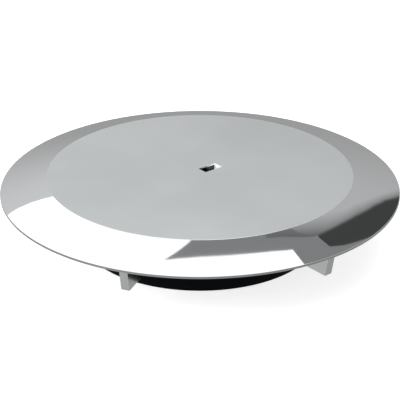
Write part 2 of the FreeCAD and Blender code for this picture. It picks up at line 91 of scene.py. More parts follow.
class NodeTree:
    """A thin helper that adds nodes and links to one node tree."""

    def __init__(self, tree: bpy.types.NodeTree) -> None:
        """Start from an empty tree.

        Args:
            tree: the tree to fill; what it holds is removed.
        """
        self.tree = tree
        tree.nodes.clear()

    def add(self, kind: str, **settings: object) -> bpy.types.Node:
        """Add a node.

        Args:
            kind: the node's type name, without the ShaderNode prefix.
            **settings: attributes to set on the node.

        Returns:
            The new node.
        """
        node = self.tree.nodes.new(kind if kind.startswith("NodeGroup") else "ShaderNode" + kind)
        for name, value in settings.items():
            setattr(node, name, value)
        return node

    def link(self, start: bpy.types.NodeSocket, end: bpy.types.NodeSocket) -> None:
        """Join an output socket to an input socket."""
        self.tree.links.new(start, end)

    def feed(self, socket: bpy.types.NodeSocket, value: object) -> None:
        """Link a socket's value, or set it when it is a plain number."""
        if isinstance(value, bpy.types.NodeSocket):
            self.link(value, socket)
        else:
            socket.default_value = value

    def math(self, operation: str, first: object, second: object = 0.0) -> bpy.types.NodeSocket:
        """Add a math node.

        Args:
            operation: the node's operation.
            first: a socket or a number.
            second: a socket or a number.

        Returns:
            The node's value output.
        """
        node = self.add("Math", operation=operation)
        self.feed(node.inputs[0], first)
        self.feed(node.inputs[1], second)
        return node.outputs[0]

    def spread(self, value: object, low: object, high: object,
               to_low: object = 0.0, to_high: object = 1.0) -> bpy.types.NodeSocket:
        """Map a value smoothly from one range to another.

        Args:
            value: the socket to map.
            low: where the incoming range starts.
            high: where the incoming range ends.
            to_low: what the start becomes.
            to_high: what the end becomes.

        Returns:
            The mapped value's socket.
        """
        node = self.add("MapRange", interpolation_type="SMOOTHSTEP")
        for socket, given in zip(node.inputs, (value, low, high, to_low, to_high)):
            self.feed(socket, given)
        return node.outputs[0]

    def blend(self, factor: object, first: object, second: object) -> bpy.types.NodeSocket:
        """Mix two colours.

        Args:
            factor: how much of the second colour shows.
            first: a socket or an RGB tuple.
            second: a socket or an RGB tuple.

        Returns:
            The mixed colour's socket.
        """
        node = self.add("Mix", data_type="RGBA")
        self.feed(node.inputs[0], factor)
        for socket, colour in ((node.inputs[6], first), (node.inputs[7], second)):
            self.feed(socket, colour if isinstance(colour, bpy.types.NodeSocket) else (*colour, 1.0))
        return node.outputs[2]

    def mix_shaders(self, output: str, factor: bpy.types.NodeSocket, first: bpy.types.Node,
                    second: bpy.types.Node) -> None:
        """Mix two shader nodes and join them to a new output node.

        Args:
            output: the output node's kind.
            factor: how much of the second shader shows.
            first: a shader node.
            second: a shader node.
        """
        mix = self.add("MixShader")
        for socket, start in zip(mix.inputs, (factor, first.outputs[0], second.outputs[0])):
            self.link(start, socket)
        self.link(mix.outputs[0], self.add(output).inputs["Surface"])

    def object_point(self) -> bpy.types.NodeSocket:
        """The surface point in the piece's own coordinates, which are the design's metres."""
        return self.add("TexCoord").outputs["Object"]

    def radius(self, point: bpy.types.NodeSocket) -> bpy.types.NodeSocket:
        """The point's distance from the diffuser's axis."""
        parts = self.add("SeparateXYZ")
        self.link(point, parts.inputs[0])
        squares = [self.math("MULTIPLY", parts.outputs[i], parts.outputs[i]) for i in (0, 1)]
        return self.math("SQRT", self.math("ADD", *squares))

    def noise(self, point: bpy.types.NodeSocket, scale: object, detail: float,
              stretch: Sequence[float] = (1.0, 1.0, 1.0)) -> bpy.types.NodeSocket:
        """Add a noise texture.

        Args:
            point: where the noise is read.
            scale: a socket or a number of features per metre.
            detail: how many finer layers it has.
            stretch: how much each axis is scaled first.

        Returns:
            The noise's value, about 0.5 on average.
        """
        mapping = self.add("Mapping")
        self.link(point, mapping.inputs[0])
        mapping.inputs["Scale"].default_value = stretch
        texture = self.add("TexNoise")
        self.link(mapping.outputs[0], texture.inputs["Vector"])
        self.feed(texture.inputs["Scale"], scale)
        texture.inputs["Detail"].default_value = detail
        return texture.outputs[0]


@dataclass(frozen=True)
class GroupPlan:
    """The name and the sockets of a shader node group."""

    name: str
    inputs: dict[str, float]
    outputs: tuple[str, ...]

    def open(self) -> tuple[NodeTree, bpy.types.Node, bpy.types.Node]:
        """Make the empty group.

        Returns:
            Its tree helper, its input node and its output node.
        """
        tree = bpy.data.node_groups.new(self.name, "ShaderNodeTree")
        for name, value in self.inputs.items():
            socket = tree.interface.new_socket(name, in_out="INPUT", socket_type="NodeSocketFloat")
            socket.default_value = value
        for name in self.outputs:
            tree.interface.new_socket(name, in_out="OUTPUT", socket_type="NodeSocketFloat")
        helper = NodeTree(tree)
        return helper, helper.add("NodeGroupInput"), helper.add("NodeGroupOutput")


def roughness_variation() -> bpy.types.NodeTree:
    """Build the group that varies roughness: broad handling marks over a fine mottle.

    Returns:
        The group, with Base, Spread and Scale in and Roughness out.
    """
    plan = GroupPlan("roughness_variation", {"Base": 0.3, "Spread": 0.1, "Scale": 30.0}, ("Roughness",))
    tree, given, out = plan.open()
    point = tree.object_point()
    broad = tree.noise(point, given.outputs["Scale"], 3.0)
    fine_scale = tree.math("MULTIPLY", given.outputs["Scale"], FINE_PER_BROAD)
    fine = tree.noise(point, fine_scale, 2.0)
    both = tree.math("ADD", tree.math("MULTIPLY", broad, BROAD_SHARE),
                     tree.math("MULTIPLY", fine, FINE_SHARE))
    centred = tree.math("SUBTRACT", both, 0.5)
    swing = tree.math("MULTIPLY", centred, tree.math("MULTIPLY", given.outputs["Spread"], 2.0))
    tree.link(tree.math("ADD", given.outputs["Base"], swing), out.inputs["Roughness"])
    return tree.tree


def edge_wear() -> bpy.types.NodeTree:
    """Build the group that finds worn outer edges, broken up by noise.

    Returns:
        The group, with Amount and Scale in and Mask out.
    """
    tree, given, out = GroupPlan("edge_wear", {"Amount": 0.5, "Scale": 200.0}, ("Mask",)).open()
    edge = tree.spread(tree.add("NewGeometry").outputs["Pointiness"], *WORN_POINTINESS)
    patches = tree.spread(tree.noise(tree.object_point(), given.outputs["Scale"], 4.0), *WORN_PATCHES)
    mask = tree.math("MULTIPLY", tree.math("MULTIPLY", edge, patches), given.outputs["Amount"])
    tree.link(mask, out.inputs["Mask"])
    return tree.tree


def settled_dust() -> bpy.types.NodeTree:
    """Build the group that lays a thin uneven dust on faces that look up.

    Returns:
        The group, with Amount and Scale in and Mask out.
    """
    tree, given, out = GroupPlan("settled_dust", {"Amount": 0.1, "Scale": 90.0}, ("Mask",)).open()
    facing = tree.add("SeparateXYZ")
    tree.link(tree.add("NewGeometry").outputs["Normal"], facing.inputs[0])
    upward = tree.spread(facing.outputs["Z"], *DUST_FACING)
    specks = tree.spread(tree.noise(tree.object_point(), given.outputs["Scale"], 6.0), *DUST_SPECKS)
    mask = tree.math("MULTIPLY", tree.math("MULTIPLY", upward, specks), given.outputs["Amount"])
    tree.link(mask, out.inputs["Mask"])
    return tree.tree


class Grain(Enum):
    """The relief patterns that the finishes use."""

    FINE = "fine"
    BRUSHED = "brushed"
    TURNED = "turned"
    SPANGLE = "spangle"
    MOULDED = "moulded"
    FOAM = "foam"


def grain_relief(grain: Grain) -> bpy.types.NodeTree:
    """Build the group that gives one grain's relief.

    Args:
        grain: which pattern.

    Returns:
        The group, with Scale in and Height and Tone out.
    """
    plan = GroupPlan(grain.value + "_relief", {"Scale": 900.0}, ("Height", "Tone"))
    tree, given, out = plan.open()
    point = tree.object_point()
    scale = given.outputs["Scale"]
    if grain is Grain.BRUSHED:
        height = tree.noise(point, scale, 3.0, BRUSH_STRETCH)
    elif grain is Grain.TURNED:
        rings = tree.add("CombineXYZ")
        tree.link(tree.radius(point), rings.inputs[0])
        parts = tree.add("SeparateXYZ")
        tree.link(point, parts.inputs[0])
        tree.link(parts.outputs["Z"], rings.inputs[1])
        height = tree.noise(rings.outputs[0], scale, 2.0)
    elif grain in (Grain.SPANGLE, Grain.FOAM):
        cells = tree.add("TexVoronoi", feature="F1")
        tree.link(point, cells.inputs["Vector"])
        tree.link(scale, cells.inputs["Scale"])
        shade = tree.add("SeparateColor")
        tree.link(cells.outputs["Color"], shade.inputs[0])
        height = cells.outputs["Distance"] if grain is Grain.FOAM else shade.outputs[0]
    else:
        height = tree.noise(point, scale, 5.0 if grain is Grain.FINE else 1.5)
    tree.link(height, out.inputs["Height"])
    tree.link(tree.math("SUBTRACT", height, 0.5), out.inputs["Tone"])
    return tree.tree


class GroupShelf:
    """Keeps each shared node group, made the first time that it is asked for."""

    def __init__(self) -> None:
        """Start with an empty shelf."""
        self.made: dict[str, bpy.types.NodeTree] = {}

    def place(self, tree: NodeTree, name: str, **values: float) -> bpy.types.Node:
        """Put a shared group in a material.

        Args:
            tree: the material's tree helper.
            name: roughness_variation, edge_wear, settled_dust or a grain's value.
            **values: the group's input values.

        Returns:
            The group node.
        """
        if name not in self.made:
            makers = {"roughness_variation": roughness_variation, "edge_wear": edge_wear,
                      "settled_dust": settled_dust}
            self.made[name] = makers[name]() if name in makers else grain_relief(Grain(name))
        node = tree.add("Group", node_tree=self.made[name])
        for socket, value in values.items():
            node.inputs[socket].default_value = value
        return node


SHELF = GroupShelf()


# ---- Finishes ----------------------------------------------------------------------------
def new_material(name: str) -> tuple[bpy.types.Material, NodeTree]:
    """Make an empty material, and give it with its tree helper."""
    material = bpy.data.materials.new(name)
    material.use_nodes = True
    return material, NodeTree(material.node_tree)


def principled(tree: NodeTree) -> bpy.types.Node:
    """Add a Principled shader and join it to the material's output.

    Args:
        tree: the material's tree helper.

    Returns:
        The shader node.
    """
    shader = tree.add("BsdfPrincipled")
    output = tree.add("OutputMaterial")
    tree.link(shader.outputs[0], output.inputs["Surface"])
    return shader


def bump(tree: NodeTree, height: bpy.types.NodeSocket, depth: float) -> bpy.types.NodeSocket:
    """Add a Bump node.

    Args:
        tree: the material's tree helper.
        height: the relief, from 0 to 1.
        depth: the relief's depth in metres.

    Returns:
        The bumped normal's socket.
    """
    node = tree.add("Bump")
    node.inputs["Strength"].default_value = 1.0
    node.inputs["Distance"].default_value = depth
    tree.link(height, node.inputs["Height"])
    return node.outputs[0]


# Painted highlight: the key slot's outer end wall is coloured white and made non-metallic so that it
# shows as bright as a lit wall.
SLOT_END_PAINTED_HIGHLIGHT_COLOUR = (0.93, 0.93, 0.93)
SLOT_END_FROM = 12.2 * MM
SLOT_END_TO = 13.5 * MM
ANY_HEIGHT = 1.0
# Painted shade: the key pocket's inside, within these distances of its middle line, is darkened towards
# near black as if in shadow.
POCKET_WALL = (3.02 * MM, 3.1 * MM)
POCKET_PAINTED_SHADE = (0.02, 0.02, 0.021)
POCKET_PAINTED_SHADE_SHARE = 0.85
TONE_SWING = 2.5
TONE_RANGE = (0.44, 0.56)
DUST_COLOUR = (0.42, 0.41, 0.39)
DUST_ROUGHNESS = 0.4
COAT_ROUGHNESS = 0.15


def slot_end_painted_highlight_mask(tree: NodeTree, start: float, top: float) -> bpy.types.NodeSocket:
    """Find the key slot's outer end wall, which gets a painted highlight: it is made white and not metal
    so that it shows bright.

    Args:
        tree: the material's tree helper.
        start: the X where the wall starts.
        top: the height below which it counts.

    Returns:
        A mask, 1 on the wall.
    """
    parts = tree.add("SeparateXYZ")
    tree.link(tree.object_point(), parts.inputs[0])
    after = tree.math("GREATER_THAN", parts.outputs["X"], start)
    before = tree.math("LESS_THAN", tree.radius(tree.object_point()), SLOT_END_TO)
    below = tree.math("LESS_THAN", parts.outputs["Z"], top)
    return tree.math("MULTIPLY", tree.math("MULTIPLY", after, before), below)


@dataclass(frozen=True)
class Finish:
    """One surface finish: its colours, gloss, grain, wear and dust, and for the key pocket a painted
    shade inside and a painted highlight on its outer end wall.
    """

    slot: str
    colour: Colour
    worn: Colour
    metallic: float
    roughness: float
    spread: float
    grain: Grain
    grain_scale: float
    grain_depth: float
    tone: float = 0.06
    wear: float = 0.5
    dust: float = 0.0
    coat: float = 0.0
    sheen: float = 0.0
    specular: float = 0.5
    # Where the painted highlight on the key slot's outer end wall starts along X; 0 leaves it out.
    painted_highlight_from: float = 0.0

    def material(self) -> bpy.types.Material:
        """Build the finish's material, once.

        Returns:
            The material.
        """
        found = bpy.data.materials.get("mat_" + self.slot)
        if found:
            return found
        material, tree = new_material("mat_" + self.slot)
        shader = principled(tree)
        relief = SHELF.place(tree, self.grain.value, Scale=self.grain_scale)
        wear = SHELF.place(tree, "edge_wear", Amount=self.wear)
        rough = SHELF.place(tree, "roughness_variation", Base=self.roughness, Spread=self.spread)
        shade = tree.math("ADD", tree.math("MULTIPLY", relief.outputs["Tone"], self.tone), 0.5)
        darker = tuple(c * (1 - TONE_SWING * self.tone) for c in self.colour)
        lighter = tuple(min(1.0, c * (1 + TONE_SWING * self.tone)) for c in self.colour)
        colour = tree.blend(tree.spread(shade, *TONE_RANGE), darker, lighter)
        colour = tree.blend(wear.outputs["Mask"], colour, self.worn)
        roughness = rough.outputs["Roughness"]
        if self.dust:
            dust = SHELF.place(tree, "settled_dust", Amount=self.dust)
            colour = tree.blend(dust.outputs["Mask"], colour, DUST_COLOUR)
            duller = tree.math("MULTIPLY", dust.outputs["Mask"], DUST_ROUGHNESS)
            roughness = tree.math("ADD", roughness, duller)
        tree.link(colour, shader.inputs["Base Color"])
        tree.link(roughness, shader.inputs["Roughness"])
        tree.link(bump(tree, relief.outputs["Height"], self.grain_depth), shader.inputs["Normal"])
        shader.inputs["Metallic"].default_value = self.metallic
        # The key pocket gets painted shade inside and a painted highlight on its outer end wall.
        if self.painted_highlight_from:
            self.paint_pocket_shade_and_highlight(tree, shader, colour)
        shader.inputs["Coat Weight"].default_value = self.coat
        shader.inputs["Coat Roughness"].default_value = COAT_ROUGHNESS
        shader.inputs["Sheen Weight"].default_value = self.sheen
        shader.inputs["Specular IOR Level"].default_value = self.specular
        return material

    def paint_pocket_shade_and_highlight(self, tree: NodeTree, shader: bpy.types.Node, colour: bpy.types.NodeSocket) -> None:
        """Paint shade into the key pocket's inside, darkening it towards near black, and paint a
        highlight on its outer end wall, which turns white and non-metallic.

        Args:
            tree: the material's tree helper.
            shader: the material's Principled shader.
            colour: the metal's own colour.
        """
        across = tree.add("SeparateXYZ")
        tree.link(tree.object_point(), across.inputs[0])
        side = tree.math("ABSOLUTE", across.outputs["Y"])
        # Painted shade: inside the pocket the colour is pulled towards near black.
        inside = tree.spread(side, *POCKET_WALL, POCKET_PAINTED_SHADE_SHARE, 0.0)
        colour = tree.blend(inside, colour, POCKET_PAINTED_SHADE)
        # Painted highlight: the outer end wall turns white and non-metallic.
        painted_highlight = slot_end_painted_highlight_mask(tree, self.painted_highlight_from, ANY_HEIGHT)
        tree.link(tree.blend(painted_highlight, colour, SLOT_END_PAINTED_HIGHLIGHT_COLOUR), shader.inputs["Base Color"])
        tree.link(tree.math("SUBTRACT", self.metallic, painted_highlight), shader.inputs["Metallic"])


FINISHES = {finish.slot: finish for finish in (
    Finish("fin_steel", (0.84, 0.86, 0.865), (0.8, 0.8, 0.8), 1.0, 0.16, 0.06,
           Grain.BRUSHED, 2600, 2e-6, 0.03),
    Finish("pocket_steel", (0.3, 0.3, 0.31), (0.7, 0.7, 0.7), 1.0, 0.34, 0.08,
           Grain.BRUSHED, 2600, 2e-6, 0.03, painted_highlight_from=SLOT_END_FROM),
    Finish("carrier_steel", (0.5, 0.51, 0.52), (0.66, 0.66, 0.66), 1.0, 0.34, 0.1,
           Grain.SPANGLE, 190, 1e-6, 0.12),
    Finish("damper_steel", (0.52, 0.54, 0.55), (0.68, 0.69, 0.7), 1.0, 0.32, 0.1,
           Grain.SPANGLE, 170, 1e-6, 0.14, dust=0.25),
    Finish("zinc_steel", (0.62, 0.61, 0.58), (0.75, 0.75, 0.75), 1.0, 0.26, 0.08,
           Grain.FINE, 2500, 3e-6, 0.06),
    Finish("spring_steel", (0.17, 0.19, 0.25), (0.5, 0.5, 0.5), 1.0, 0.28, 0.08,
           Grain.FINE, 2200, 2e-6, 0.08),
    Finish("post_steel", (0.58, 0.58, 0.58), (0.74, 0.74, 0.74), 1.0, 0.2, 0.05,
           Grain.TURNED, 5200, 5e-6, 0.05),
    Finish("rivet_aluminium", (0.72, 0.73, 0.74), (0.85, 0.85, 0.85), 1.0, 0.3, 0.08,
           Grain.FINE, 2000, 4e-6),
    Finish("black_paint", (0.016, 0.017, 0.019), (0.12, 0.12, 0.12), 0.0, 0.38, 0.08,
           Grain.MOULDED, 2400, 1.2e-5, 0.05, wear=0.35, dust=0.06),
    Finish("black_rubber", (0.0022, 0.0026, 0.0036), (0.012, 0.012, 0.014), 0.0, 0.45, 0.1,
           Grain.FINE, 1800, 6e-6, 0.08, wear=0.3, specular=0.05),
    Finish("gasket_foam", (0.035, 0.035, 0.037), (0.06, 0.06, 0.06), 0.0, 0.92, 0.05,
           Grain.FOAM, 1900, 1.2e-4, 0.2, wear=0.2, sheen=0.1),
    Finish("socket_plastic", (0.035, 0.036, 0.038), (0.09, 0.09, 0.09), 0.0, 0.5, 0.1,
           Grain.MOULDED, 2600, 1.5e-5, 0.05),
    Finish("bush_plastic", (0.78, 0.76, 0.7), (0.85, 0.84, 0.8), 0.0, 0.42, 0.08,
           Grain.MOULDED, 2200, 1e-5, 0.04),
    Finish("knob_plastic", (0.6, 0.07, 0.02), (0.72, 0.2, 0.12), 0.0, 0.4, 0.1,
           Grain.MOULDED, 2200, 1.2e-5, 0.05, wear=0.4, coat=0.1),
)}


@dataclass(frozen=True)
class FaceFinish:
    """The face plate's finish: a satin-ground middle inside a mirror-polished bevel."""

    satin: Colour = (0.825, 0.853, 0.863)
    polished: Colour = (0.9, 0.925, 0.935)
    cut_edge: Colour = (0.6, 0.608, 0.615)
    satin_roughness: float = 0.31
    polished_roughness: float = 0.02
    border: float = 0.1 * MM
    edge_from: float = 0.16 * MM
    edge_to: float = 0.08 * MM
    cloud_scale: float = 18.0
    cloud_range: Point2 = (0.3, 0.7)
    cloud_swing: float = 0.03
    grain_scale: float = 3200.0
    grain_depth: float = 1.5e-6

    def material(self) -> bpy.types.Material:
        """Build the two-part material.

        Returns:
            The material.
        """
        material, tree = new_material("mat_face_steel")
        shader = principled(tree)
        point = tree.object_point()
        polished = tree.spread(tree.radius(point), FLAT_RADIUS - self.border, FLAT_RADIUS + self.border)
        grain = SHELF.place(tree, Grain.FINE.value, Scale=self.grain_scale)
        clouds = tree.noise(point, self.cloud_scale, 2.0)
        lighter = tuple(c * (1 + self.cloud_swing) for c in self.satin)
        darker = tuple(c * (1 - self.cloud_swing) for c in self.satin)
        satin = tree.blend(tree.spread(clouds, *self.cloud_range), darker, lighter)
        both = tree.blend(polished, satin, self.polished)
        rim = FACE_BOX[1].x
        cut = tree.spread(tree.radius(point), rim - self.edge_from, rim - self.edge_to)
        both = tree.blend(cut, both, self.cut_edge)
        # Painted highlight: the key slot's outer end wall on the face plate is coloured white and made
        # non-metallic.
        painted_highlight = slot_end_painted_highlight_mask(tree, SLOT_END_FROM, FACE_BOX[1].z - self.border)
        tree.link(tree.blend(painted_highlight, both, SLOT_END_PAINTED_HIGHLIGHT_COLOUR), shader.inputs["Base Color"])
        tree.link(tree.math("SUBTRACT", 1.0, painted_highlight), shader.inputs["Metallic"])
        ground = SHELF.place(tree, "roughness_variation", Base=self.satin_roughness,
                             Spread=0.05, Scale=24.0)
        mirror = SHELF.place(tree, "roughness_variation", Base=self.polished_roughness,
                             Spread=0.012, Scale=16.0)
        roughness = tree.add("Mix", data_type="FLOAT")
        tree.link(polished, roughness.inputs[0])
        tree.link(ground.outputs[0], roughness.inputs[2])
        tree.link(mirror.outputs[0], roughness.inputs[3])
        tree.link(roughness.outputs[0], shader.inputs["Roughness"])
        relief = tree.math("MULTIPLY", grain.outputs["Height"], tree.math("SUBTRACT", 1.0, polished))
        tree.link(bump(tree, relief, self.grain_depth), shader.inputs["Normal"])
        return material


# ---- Mesh making -------------------------------------------------------------------------
MERGE_GAP = 1e-6
FLAT_ANGLE = 0.3
SMOOTH_ANGLE = 35.0
MOST_OF_SIDE = 0.45


def slot_of(node: str) -> str:
    """The record's material slot of a node."""
    subparts = frame["record"]["subparts"]
    return next(part["material_slot"] for part in subparts if part["node"] == node)


def new_piece(node: str, mesh: bpy.types.Mesh, body: str,
              material: bpy.types.Material) -> bpy.types.Object:
    """Make a finished piece stand for a CAD node.

    Args:
        node: the CAD node, which gives the piece its name.
        mesh: the piece's mesh, in the design's own frame.
        body: the body that it rides on.
        material: its material.

    Returns:
        The new object.
    """
    piece = bpy.data.objects.new(node + "_finished", mesh)
    bpy.context.scene.collection.objects.link(piece)
    mesh.materials.clear()
    mesh.materials.append(material)
    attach(piece, body)
    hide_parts(node)
    LOG.info("made %s for %s, %d faces", piece.name, node, len(mesh.polygons))
    return piece


def finished_mesh(name: str, bm: bmesh.types.BMesh) -> bpy.types.Mesh:
    """Turn a bmesh into a mesh and free it."""
    mesh = bpy.data.meshes.new(name)
    bm.to_mesh(mesh)
    bm.free()
    return mesh


def smooth(mesh: bpy.types.Mesh, angle: float) -> None:
    """Shade a mesh smooth, with edges sharper than an angle in degrees left hard."""
    mesh.shade_smooth()
    mesh.set_sharp_from_angle(angle=math.radians(angle))


def lathe(name: str, outline: Sequence[Point2], segments: int) -> bpy.types.Mesh:
    """Turn a closed outline about the Z axis.

    Args:
        name: the mesh's name.
        outline: (radius, height) points in order round the section, none on the axis.
        segments: how many steps the turn has.

    Returns:
        The mesh, one closed ring.
    """
    bm = bmesh.new()
    rings = []
    for step in range(segments):
        turn = 2 * math.pi * step / segments
        rings.append([bm.verts.new((r * math.cos(turn), r * math.sin(turn), z)) for r, z in outline])
    for step in range(segments):
        here, there = rings[step], rings[(step + 1) % segments]
        for i in range(len(outline)):
            j = (i + 1) % len(outline)
            bm.faces.new((here[i], there[i], there[j], here[j]))
    bmesh.ops.recalc_face_normals(bm, faces=bm.faces)
    return finished_mesh(name, bm)


def rounded(outline: Sequence[Point2], radius: float, steps: int = 3) -> list[Point2]:
    """Round every corner of a closed outline.

    Args:
        outline: the corner points in order.
        radius: how far along each side the rounding starts, within MOST_OF_SIDE of the side.
        steps: how many points beyond the first each rounding has.

    Returns:
        The rounded outline's points.
    """
    result = []
    count = len(outline)
    for i, corner in enumerate(outline):
        here = Vector(corner)
        sides = [Vector(outline[i - 1]) - here, Vector(outline[(i + 1) % count]) - here]
        start, end = (here + side.normalized() * min(radius, side.length * MOST_OF_SIDE)
                      for side in sides)
        for step in range(steps + 1):
            t = step / steps
            bend = start * (1 - t) ** 2 + here * (2 * t * (1 - t)) + end * t ** 2
            result.append((bend.x, bend.y))
    return result


def softened(node: str, width: float, angle: float = 28.0) -> bpy.types.Mesh:
    """Copy a CAD node's mesh, merge its flat triangles and round its sharp edges.

    Args:
        node: the CAD node.
        width: the rounding's width in metres.
        angle: edges sharper than this, in degrees, are rounded.

    Returns:
        The new mesh.
    """
    bm = bmesh.new()
    bm.from_mesh(frame["nodes"][node].data)
    bmesh.ops.remove_doubles(bm, verts=bm.verts, dist=MERGE_GAP)
    bmesh.ops.dissolve_limit(bm, angle_limit=math.radians(FLAT_ANGLE), verts=bm.verts, edges=bm.edges)
    sharp = [edge for edge in bm.edges
             if len(edge.link_faces) == 2 and edge.calc_face_angle() > math.radians(angle)]
    bmesh.ops.bevel(bm, geom=sharp, offset=width, segments=2, profile=0.5, affect="EDGES",
                    clamp_overlap=True)
    mesh = finished_mesh(node + "_soft", bm)
    smooth(mesh, SMOOTH_ANGLE)
    return mesh


# ---- The diffuser's sub-assemblies -------------------------------------------------------
@dataclass
class Assembly:
    """One moving group of pieces: rides on one body and dresses its nodes."""

    body: str
    soft_nodes: dict[str, float] = field(default_factory=dict)

    def soften(self) -> None:
        """Replace each listed node with its edge-rounded copy."""
        for node, width in self.soft_nodes.items():
            material = FINISHES[slot_of(node)].material()
            piece = new_piece(node, softened(node, width), self.body, material)
            weighted = piece.modifiers.new("even_normals", "WEIGHTED_NORMAL")
            weighted.keep_sharp = True


@dataclass
class FaceAssembly(Assembly):
    """The lift-off face: sheet disc, key pocket, carrier, fins and their fixings."""

    body: str = "face"
    sheet: float = 1.0 * MM
    slot_start: float = 1.4 * MM
    slot_length: float = 11.0 * MM
    slot_width: float = 6.0 * MM
    slot_corner: float = 0.35 * MM
    edge_round: float = 0.12 * MM
    flat_support: float = 20.0 * MM
    near_support: float = 1.0 * MM
    bevel_supports: tuple[float, ...] = (8.0 * MM, 16.0 * MM)
    smooth_angle: float = 30.0
    segments: int = 480
    soft_nodes: dict[str, float] = field(default_factory=lambda: {
        **{f"spacer_fin_{i}": 0.2 * MM for i in range(1, 7)},
        "key_pocket": 0.12 * MM, "carrier_spider": 0.15 * MM, "hub_socket": 0.3 * MM,
        "fin_screws": 0.08 * MM, "hub_screws": 0.08 * MM, "stud_nuts": 0.1 * MM,
        "stud_washers": 0.1 * MM, "face_studs": 0.08 * MM, "grip_crown": 0.06 * MM,
    })

    def slot_loop(self, height: float, grow: float) -> list[Vector]:
        """The key slot's rounded outline, one point per segment.

        Args:
            height: the loop's height.
            grow: how far it stands outside the slot's own edge.

        Returns:
            Points that start on the +X side and run anticlockwise about the diffuser's axis.
        """
        half_x = self.slot_length / 2 + grow
        half_y = self.slot_width / 2 + grow
        corner = self.slot_corner + grow
        middle_x = self.slot_start + self.slot_length / 2
        points = []
        for step in range(self.segments):
            turn = 2 * math.pi * step / self.segments
            ray = Vector((math.cos(turn), math.sin(turn)))
            reach = min(half_x / max(abs(ray.x), 1e-9), half_y / max(abs(ray.y), 1e-9))
            x, y = ray * reach
            inner_x, inner_y = half_x - corner, half_y - corner
            if abs(x) > inner_x and abs(y) > inner_y:
                centre = Vector((math.copysign(inner_x, x), math.copysign(inner_y, y)))
                out = (Vector((x, y)) - centre).normalized() * corner
                x, y = centre + out
            points.append(Vector((middle_x + x, y, height)))
        return points

    def circle(self, radius: float, height: float) -> list[Vector]:
        """A circle about the axis with one point per segment."""
        turns = [2 * math.pi * step / self.segments for step in range(self.segments)]
        return [Vector((radius * math.cos(t), radius * math.sin(t), height)) for t in turns]

    def face_loops(self) -> list[list[Vector]]:
        """The face plate's loops, from the slot's upper edge out to the rim and back underneath.

        Returns:
            The loops in order; the last joins the first down the slot's wall.
        """
        low, high = FACE_BOX
        rim = high.x
        top = high.z
        slope = (top - low.z - self.sheet) / (rim - FLAT_RADIUS)
        depth = self.sheet * math.hypot(1.0, slope)
        slope = (top - low.z - depth) / (rim - FLAT_RADIUS)
        under_corner = FLAT_RADIUS - self.sheet * math.tan(math.atan(slope) / 2)
        bend = self.edge_round

        def upper(radius: float) -> float:
            """The bevel's upper height at a radius."""
            return top - (radius - FLAT_RADIUS) * slope

        near, far = self.near_support, self.flat_support
        wide, nose = bend * 1.5, bend * 0.4
        loops = [self.slot_loop(top - bend, 0.0), self.slot_loop(top - bend * 0.3, bend * 0.3),
                 self.slot_loop(top, bend), self.slot_loop(top, bend * 3)]
        loops += [self.circle(FLAT_RADIUS - gap, top) for gap in (far, near, bend * 2, bend)]
        loops.append(self.circle(FLAT_RADIUS, top - bend * slope * 0.25))
        steps = (bend, bend * 2, near, *self.bevel_supports)
        loops += [self.circle(FLAT_RADIUS + gap, upper(FLAT_RADIUS + gap)) for gap in steps]
        loops += [self.circle(rim - gap, upper(rim - gap)) for gap in (near, bend * 3, wide)]
        loops.append(self.circle(rim - nose, upper(rim) - bend * 0.25))
        loops += [self.circle(rim, upper(rim) - wide), self.circle(rim, upper(rim) - depth + wide)]
        loops.append(self.circle(rim - nose, upper(rim) - depth + nose))
        loops += [self.circle(rim - gap, upper(rim - gap) - depth) for gap in (wide, near)]
        loops.append(self.circle(under_corner + bend, upper(under_corner + bend) - depth))
        under = top - self.sheet
        loops += [self.circle(under_corner - bend, under), self.circle(under_corner - far, under)]
        loops += [self.slot_loop(under, bend), self.slot_loop(under + bend, 0.0)]
        return loops

    def make_face_plate(self) -> None:
        """Build the face plate from its loops and give it the two-part finish."""
        bm = bmesh.new()
        loops = [[bm.verts.new(point) for point in loop] for loop in self.face_loops()]
        for here, there in zip(loops, loops[1:] + loops[:1]):
            for i in range(self.segments):
                j = (i + 1) % self.segments
                bm.faces.new((here[i], here[j], there[j], there[i]))
        bmesh.ops.recalc_face_normals(bm, faces=bm.faces)
        mesh = finished_mesh("face_plate_finished", bm)
        smooth(mesh, self.smooth_angle)
        new_piece("face_plate", mesh, self.body, FaceFinish().material())

    def build(self) -> None:
        """Make the face plate and finish the rest."""
        self.make_face_plate()
        self.soften()


